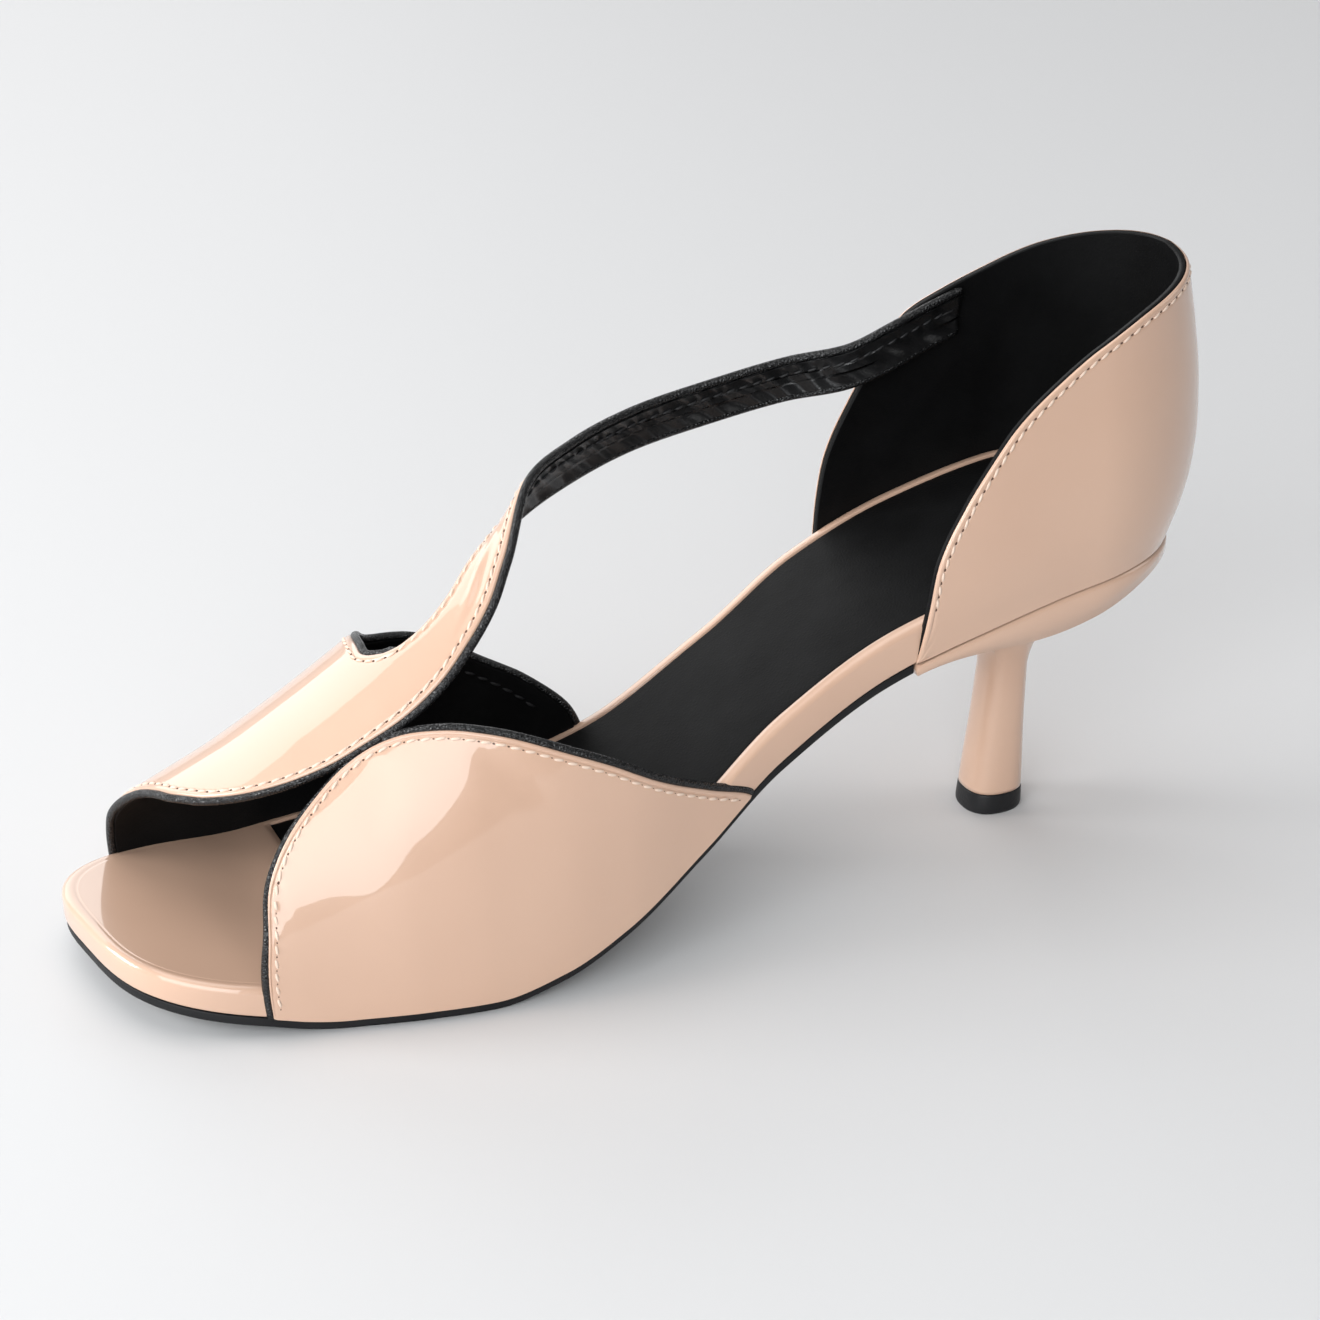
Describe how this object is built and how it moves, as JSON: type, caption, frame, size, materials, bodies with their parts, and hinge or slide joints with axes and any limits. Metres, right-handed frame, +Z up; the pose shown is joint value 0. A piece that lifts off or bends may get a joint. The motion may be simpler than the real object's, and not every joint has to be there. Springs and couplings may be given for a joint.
{
  "type": "heeled sandal",
  "caption": "Left peep-toe sandal with crossing vamp wings, a slim strap to a closed heel counter, a thin platform and a low slender heel.",
  "frame": {"origin": "on the floor, under the middle of the shoe's bounding box", "axes": "+X towards the toe, +Y to the wearer's left, which is the outer side of this left shoe, +Z up from the floor"},
  "size_m": [0.2296, 0.0724, 0.1163],
  "materials": {
    "nude_patent": "glossy patent",
    "black_leather": "fine grain, satin",
    "black_rubber": "matte"
  },
  "bodies": {
    "root": {"outsole": "black_rubber", "insole_platform": "nude_patent", "insock": "black_leather", "upper": "nude_patent", "heel_counter": "nude_patent", "heel": "nude_patent", "heel_tip": "black_rubber"}
  },
  "joints": []
}
